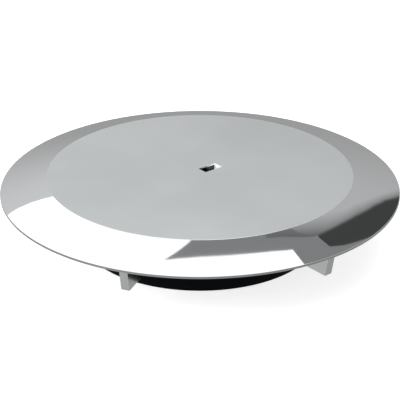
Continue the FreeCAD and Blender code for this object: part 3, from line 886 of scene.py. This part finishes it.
@dataclass
class CollarAssembly(Assembly):
    """The fixed collar with its seal, gasket, damper seat and centre post."""

    body: str = "collar"
    seal_segments: int = 360
    collar_sheet: float = 1.2 * MM
    leg: float = 1.0 * MM
    hook: float = 0.8 * MM
    band: float = 7.0 * MM
    groove: float = 1.0 * MM
    groove_depth: float = 2.1 * MM
    thickness: float = 3.3 * MM
    leg_height: float = 4.0 * MM
    corner: float = 0.35 * MM
    soft_nodes: dict[str, float] = field(default_factory=lambda: {
        "collar": 0.3 * MM, "ceiling_gasket": 0.25 * MM, "seat_plate": 0.15 * MM,
        "seat_rivets": 0.1 * MM, "centre_post": 0.15 * MM, "post_washer": 0.1 * MM,
        "post_nut": 0.15 * MM, "stop_pin": 0.1 * MM, "disc_spring": 0.08 * MM,
        "thrust_washer": 0.1 * MM, "post_circlip": 0.1 * MM,
    })

    def make_seal(self) -> None:
        """Build the rubber seal: inner leg, hook, outer band, groove and tapered lip."""
        low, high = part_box("duct_seal")
        outer = high.x
        tube = outer - self.thickness
        bore = tube - self.collar_sheet
        leg = bore - self.leg
        waist = outer - self.groove_depth
        lip_z = low.z + self.band + self.groove
        outline = rounded([
            (leg, low.z), (outer, low.z), (outer, low.z + self.band), (waist, low.z + self.band),
            (waist, lip_z), (outer, lip_z), (waist, high.z), (tube, high.z), (tube, low.z + self.hook),
            (bore, low.z + self.hook), (bore, low.z + self.leg_height), (leg, low.z + self.leg_height),
        ], self.corner)
        mesh = lathe("duct_seal_finished", outline, self.seal_segments)
        smooth(mesh, SMOOTH_ANGLE)
        new_piece("duct_seal", mesh, self.body, FINISHES["black_rubber"].material())

    def build(self) -> None:
        """Make the seal and finish the rest."""
        self.make_seal()
        self.soften()


@dataclass
class DamperAssembly(Assembly):
    """The turning damper: rotor, bush and finger knob."""

    body: str = "damper"
    stem: float = 2.0 * MM
    axis_gap: float = 0.01 * MM
    collar_height: float = 1.2 * MM
    waist_from: float = 3.0 * MM
    waist_to: float = 4.0 * MM
    waist_share: float = 0.64
    head_height: float = 2.4 * MM
    head_edge: float = 0.8 * MM
    dish_edge_share: float = 0.45
    dish_floor_share: float = 0.4
    dish_depth: float = 0.4 * MM
    corner: float = 0.3 * MM
    knob_ribs: int = 18
    steps_per_rib: int = 8
    rib_depth: float = 0.28 * MM
    rib_height: float = 2.6 * MM
    ribbed_share: float = 0.97
    smooth_angle: float = 50.0
    soft_nodes: dict[str, float] = field(default_factory=lambda: {
        "damper_rotor": 0.15 * MM, "rotor_bush": 0.1 * MM,
    })

    def make_knob(self) -> None:
        """Build the waisted knob, with grip ribs round its head."""
        low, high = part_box("damper_knob")
        centre = (low + high) / 2
        head = (high.x - low.x) / 2
        waist = head * self.waist_share
        dish = high.z - self.dish_depth
        rotor_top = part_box("damper_rotor")[1].z
        outline = rounded([
            (self.axis_gap, low.z), (self.stem, low.z), (self.stem, rotor_top), (head, rotor_top),
            (head, rotor_top + self.collar_height), (waist, rotor_top + self.waist_from),
            (waist, high.z - self.waist_to), (head, high.z - self.head_height),
            (head, high.z - self.head_edge), (head - self.head_edge, high.z),
            (head * self.dish_edge_share, high.z), (head * self.dish_floor_share, dish),
            (self.axis_gap, dish),
        ], self.corner)
        mesh = lathe("damper_knob_finished", outline, self.knob_ribs * self.steps_per_rib)
        for vertex in mesh.vertices:
            radius = math.hypot(vertex.co.x, vertex.co.y)
            if radius > head * self.ribbed_share and vertex.co.z > high.z - self.rib_height:
                turn = math.atan2(vertex.co.y, vertex.co.x)
                shrink = self.rib_depth * (0.5 - 0.5 * math.cos(self.knob_ribs * turn))
                vertex.co.x *= (radius - shrink) / radius
                vertex.co.y *= (radius - shrink) / radius
            vertex.co.x += centre.x
            vertex.co.y += centre.y
        smooth(mesh, self.smooth_angle)
        new_piece("damper_knob", mesh, self.body, FINISHES["knob_plastic"].material())

    def build(self) -> None:
        """Make the knob and finish the rest."""
        self.make_knob()
        self.soften()


# ---- Studio ------------------------------------------------------------------------------
@dataclass(frozen=True)
class Card:
    """A glowing card that the polished bevel mirrors.

    The card lies between its edges, which are lists of matching points. A point is where the
    camera sees it in the bevel: an azimuth in degrees, and a share of the bevel's width, 0 at
    the flat and 1 at the rim. Each edge has its glow in levels and how solid it is in solid.
    """

    name: str
    edges: tuple[tuple[Point2, ...], ...]
    levels: tuple[float, ...]
    solid: tuple[float, ...]
    reach: float


WHITE_LEFT = (
    (-194.0, -1.4), (-196.2, 0.0), (-197.2, 0.15), (-198.1, 0.4), (-198.0, 0.7), (-197.2, 0.87),
    (-196.0, 1.0), (-188.0, 3.0),
)
WHITE_RIGHT = -101.2
GREY_NEAR = (
    (-139.3, 0.49), (-136.4, 0.27), (-133.0, 0.0), (-126.0, -0.7), (-120.5, -0.7), (-113.8, -0.7),
    (-107.6, -0.7), (-101.0, -0.7), (-100.9, -0.7), (-95.0, 0.1), (-90.0, 0.4), (-80.0, 0.5),
    (-68.0, 0.7),
)
GREY_FAR = (
    (-139.2, 0.486), (-134.9, 0.414), (-129.0, 0.358), (-124.5, 0.347), (-120.5, 0.346),
    (-113.8, 0.361), (-107.6, 0.401), (-101.0, 0.482), (-101.3, 1.8), (-95.0, 1.8), (-90.0, 1.8),
    (-80.0, 1.8), (-68.0, 1.8),
)
SHADE_NEAR = (
    (-97.0, -0.6), (-88.0, -0.25), (-80.0, -0.1), (-76.0, 0.0), (-72.0, 0.1), (-64.0, 0.2),
    (-57.0, 0.38), (-51.5, 0.55), (-47.0, 0.75), (-43.0, 0.95),
)
SHADE_FAR = (
    (-107.0, 0.02), (-101.0, 0.1), (-94.0, 0.28), (-89.0, 0.38), (-80.0, 0.4), (-71.5, 0.43),
    (-61.0, 0.58), (-55.0, 0.73), (-51.5, 0.88), (-48.0, 1.02),
)
DARK_NEAR = (
    (-89.5, 0.3), (-85.0, 0.29), (-78.0, 0.3), (-70.5, 0.35), (-60.0, 0.5), (-54.0, 0.65),
    (-50.5, 0.81), (-47.0, 0.98),
)
DARK_MIDDLE = (
    (-90.5, 0.37), (-86.0, 0.36), (-79.0, 0.37), (-71.5, 0.42), (-61.0, 0.57), (-55.0, 0.72),
    (-51.5, 0.88), (-48.0, 1.05),
)
DARK_FAR = (
    (-90.3, 0.7), (-86.0, 0.81), (-79.0, 0.91), (-72.0, 1.02), (-62.0, 1.7), (-55.0, 1.7),
    (-51.0, 1.7), (-47.0, 1.7),
)
WHITE_EDGES = tuple((point, (WHITE_RIGHT, point[1])) for point in WHITE_LEFT)
CARDS = (
    Card("white_card", WHITE_EDGES, (1.2,) * 8, (1.0,) * 8, reach=4.6),
    Card("grey_card", (GREY_NEAR, GREY_FAR), (0.22, 0.22), (1.0, 1.0), reach=4.3),
    Card("shade_card", (SHADE_NEAR, SHADE_FAR), (0.2, 0.13), (0.0, 1.0), reach=4.1),
    Card("dark_card", (DARK_NEAR, DARK_MIDDLE, DARK_FAR), (0.09, 0.05, 0.05), (0.0, 1.0, 1.0),
         reach=3.8),
)
# The flat card's directions: near left, near right, far left, far right.
FLAT_CARD = ((-15, 33), (14, 33), (-11, 55), (11, 55))


@dataclass(frozen=True)
class SoftLight:
    """A square soft light: its direction, its distance, its side and its power in watts."""

    name: str
    turn: float
    rise: float
    reach: float
    size: float
    power: float


LIGHTS = (
    SoftLight("top_light", 0.0, 85.0, 2.0, 2.4, 36.0),
    SoftLight("left_light", -118.0, 36.0, 1.6, 0.9, 30.0),
)


@dataclass
class Studio:
    """The floor, the lights, the mirrored cards and the camera.

    Directions are (turn, rise) in degrees: the turn to the right of where the camera faces, seen
    from above, and the rise above the horizon.
    """

    azimuth: float = -39.0
    elevation: float = 24.35
    distance: float = 0.69472
    aim_drop: float = 10.0 * MM
    lens: float = 119.2
    sensor: float = 36.0
    floor_radius: float = 0.9
    floor_gap: float = 0.05 * MM
    floor_colour: Colour = (0.55, 0.55, 0.55)
    floor_roughness: float = 0.9
    floor_specular: float = 0.2
    floor_glow: float = 0.78
    card_steps: int = 5
    flat_card_level: float = 1.1
    flat_card_reach: float = 5.0
    left_level: float = 0.605
    right_level: float = 0.45
    low_level: float = 0.336
    ground_left_level: float = 0.475
    ground_right_level: float = 0.345
    backdrop_level: float = 1.0
    across_fade: Point2 = (-0.3, 0.3)
    ground_fade: Point2 = (-0.6, 1.0)
    low_fade: Point2 = (-0.36, -0.2)
    high_fade: Point2 = (-0.12, 0.5)

    def heading(self) -> Vector:
        """The level direction in which the camera faces."""
        turn = math.radians(self.azimuth)
        return Vector((-math.sin(turn), math.cos(turn), 0.0))

    def direction(self, turn: float, rise: float) -> Vector:
        """A unit direction from a turn and a rise in degrees."""
        ahead = self.heading()
        right = Vector((ahead.y, -ahead.x, 0.0))
        t, r = math.radians(turn), math.radians(rise)
        level = ahead * math.cos(t) + right * math.sin(t)
        return level * math.cos(r) + Vector((0.0, 0.0, math.sin(r)))

    def camera_place(self) -> Vector:
        """Where the camera stands."""
        rise = math.radians(self.elevation)
        back = -self.heading() * math.cos(rise) + Vector((0.0, 0.0, math.sin(rise)))
        return Vector((0.0, 0.0, BEVEL_RIM)) + back * self.distance

    def make_camera(self) -> None:
        """Set the camera at the viewing angle, aimed a little below the rim."""
        data = bpy.data.cameras.new("camera")
        data.lens = self.lens
        data.sensor_width = self.sensor
        camera = bpy.data.objects.new("camera", data)
        camera.location = self.camera_place()
        aim = Vector((0.0, 0.0, BEVEL_RIM - self.aim_drop)) - camera.location
        camera.rotation_euler = aim.to_track_quat("-Z", "Y").to_euler()
        bpy.context.scene.collection.objects.link(camera)
        bpy.context.scene.camera = camera

    def make_floor(self) -> None:
        """Lay the pale floor disc, which can be seen through from below."""
        bm = bmesh.new()
        bmesh.ops.create_circle(bm, cap_ends=True, segments=128, radius=self.floor_radius)
        mesh = finished_mesh("floor", bm)
        floor = bpy.data.objects.new("floor", mesh)
        floor.location.z = CAD_BOUNDS[0][2] - self.floor_gap
        material, tree = new_material("mat_floor")
        shader = tree.add("BsdfPrincipled")
        shader.inputs["Base Color"].default_value = (*self.floor_colour, 1.0)
        shader.inputs["Roughness"].default_value = self.floor_roughness
        shader.inputs["Specular IOR Level"].default_value = self.floor_specular
        shader.inputs["Emission Color"].default_value = (1.0, 1.0, 1.0, 1.0)
        shader.inputs["Emission Strength"].default_value = self.floor_glow
        below = tree.add("NewGeometry").outputs["Backfacing"]
        tree.mix_shaders("OutputMaterial", below, shader, tree.add("BsdfTransparent"))
        mesh.materials.append(material)
        floor.visible_glossy = False
        bpy.context.scene.collection.objects.link(floor)

    def mirrored(self, azimuth: float, share: float, reach: float) -> Vector:
        """Find what the camera sees in the bevel at one place.

        Args:
            azimuth: where on the bevel, in degrees.
            share: how far across it, 0 at the flat and 1 at the rim.
            reach: how far away the mirrored point is.

        Returns:
            The mirrored point.
        """
        slope = (FACE_BOX[1].z - BEVEL_RIM) / (FACE_BOX[1].x - FLAT_RADIUS)
        radius = FLAT_RADIUS + share * (FACE_BOX[1].x - FLAT_RADIUS)
        turn = math.radians(azimuth)
        out = Vector((math.cos(turn), math.sin(turn), 0.0))
        place = out * radius + Vector((0.0, 0.0, FACE_BOX[1].z - (radius - FLAT_RADIUS) * slope))
        normal = (out * slope + Vector((0.0, 0.0, 1.0))).normalized()
        sight = (place - self.camera_place()).normalized()
        return place + (sight - normal * (2.0 * sight.dot(normal))) * reach

    def show_card(self, name: str, rows: Sequence[Sequence[Vector]],
                  values: Sequence[Sequence[Point2]]) -> None:
        """Make a card's mesh and its glow.

        Args:
            name: the card's name.
            rows: rows of points that the card's faces join.
            values: the glow and the solidity at each point.
        """
        width = len(rows[0])
        faces = [(i * width + j, i * width + j + 1, (i + 1) * width + j + 1, (i + 1) * width + j)
                 for i in range(len(rows) - 1) for j in range(width - 1)]
        mesh = bpy.data.meshes.new(name)
        mesh.from_pydata([point for row in rows for point in row], [], faces)
        paint = mesh.color_attributes.new("glow", "FLOAT_COLOR", "POINT")
        flat_values = [value for row in values for value in row]
        colours = [v for level, solid in flat_values for v in (level, level, level, solid)]
        paint.data.foreach_set("color", colours)
        material, tree = new_material("mat_" + name)
        painted = tree.add("VertexColor", layer_name="glow")
        glow = tree.add("Emission")
        tree.link(painted.outputs["Color"], glow.inputs["Color"])
        tree.mix_shaders("OutputMaterial", painted.outputs["Alpha"], tree.add("BsdfTransparent"), glow)
        mesh.materials.append(material)
        card = bpy.data.objects.new(name, mesh)
        card.visible_camera = False
        bpy.context.scene.collection.objects.link(card)

    def make_card(self, card: Card) -> None:
        """Hang one card where the bevel mirrors it."""
        steps = self.card_steps
        rows: list[list[Vector]] = []
        values: list[list[Point2]] = []
        for k in range(len(card.edges) - 1):
            for step in range(steps + 1):
                share = step / steps
                level, solid = (given[k] * (1 - share) + given[k + 1] * share
                                for given in (card.levels, card.solid))
                row = []
                for i in range(len(card.edges[k]) - 1):
                    for part in range(2 * steps + 1):
                        t = part / (2 * steps)
                        near, far = (Vector(e[i]).lerp(Vector(e[i + 1]), t) for e in card.edges[k:k + 2])
                        row.append(self.mirrored(*near.lerp(far, share), card.reach))
                rows.append(row)
                values.append([(level, solid)] * len(row))
        self.show_card(card.name, rows, values)

    def make_flat_card(self) -> None:
        """Hang the card that the satin flat mirrors, by direction."""
        points = [self.direction(*corner) * self.flat_card_reach for corner in FLAT_CARD]
        glow = [(self.flat_card_level, 1.0)] * 2
        self.show_card("flat_card", [points[:2], points[2:]], [glow, glow])

    def make_light(self, plan: SoftLight) -> None:
        """Hang a soft light, unseen in reflections.

        Args:
            plan: the light's place, size and power.
        """
        data = bpy.data.lights.new(plan.name, "AREA")
        data.size = plan.size
        data.energy = plan.power
        light = bpy.data.objects.new(plan.name, data)
        light.location = self.direction(plan.turn, plan.rise) * plan.reach
        light.rotation_euler = (-light.location).to_track_quat("-Z", "Y").to_euler()
        light.visible_glossy = False
        bpy.context.scene.collection.objects.link(light)

    def make_room(self) -> None:
        """Give the room its grey light, brighter high up and on the left, and a pale backdrop."""
        world = bpy.data.worlds.new("room")
        bpy.context.scene.world = world
        world.use_nodes = True
        tree = NodeTree(world.node_tree)
        look = tree.add("TexCoord").outputs["Generated"]
        dots = []
        for axis in (self.direction(-90.0, 0.0), Vector((0.0, 0.0, 1.0))):
            dot = tree.add("VectorMath", operation="DOT_PRODUCT")
            tree.link(look, dot.inputs[0])
            dot.inputs[1].default_value = axis
            dots.append(dot.outputs["Value"])
        high = tree.spread(dots[0], *self.across_fade, self.right_level, self.left_level)
        ground = tree.spread(dots[0], *self.ground_fade,
                             self.ground_right_level, self.ground_left_level)
        low = tree.spread(dots[1], *self.low_fade, ground, self.low_level)
        level = tree.spread(dots[1], *self.high_fade, low, high)
        room = tree.add("Background")
        tree.link(level, room.inputs["Strength"])
        backdrop = tree.add("Background")
        backdrop.inputs["Strength"].default_value = self.backdrop_level
        for background in (room, backdrop):
            background.inputs["Color"].default_value = (1.0, 1.0, 1.0, 1.0)
        seen = tree.add("LightPath").outputs["Is Camera Ray"]
        tree.mix_shaders("OutputWorld", seen, room, backdrop)

    def build(self) -> None:
        """Set up everything round the diffuser."""
        self.make_camera()
        self.make_floor()
        for card in CARDS:
            self.make_card(card)
        self.make_flat_card()
        self.make_room()
        for light in LIGHTS:
            self.make_light(light)
        bpy.context.scene.view_settings.view_transform = "Standard"


def main() -> None:
    """Build the studio, then each sub-assembly in turn."""
    logging.basicConfig(level=logging.INFO, format="%(message)s")
    Studio().build()
    for assembly in (FaceAssembly(), CollarAssembly(), DamperAssembly()):
        LOG.info("building the %s", assembly.body)
        assembly.build()


if __name__ == "__main__":
    main()
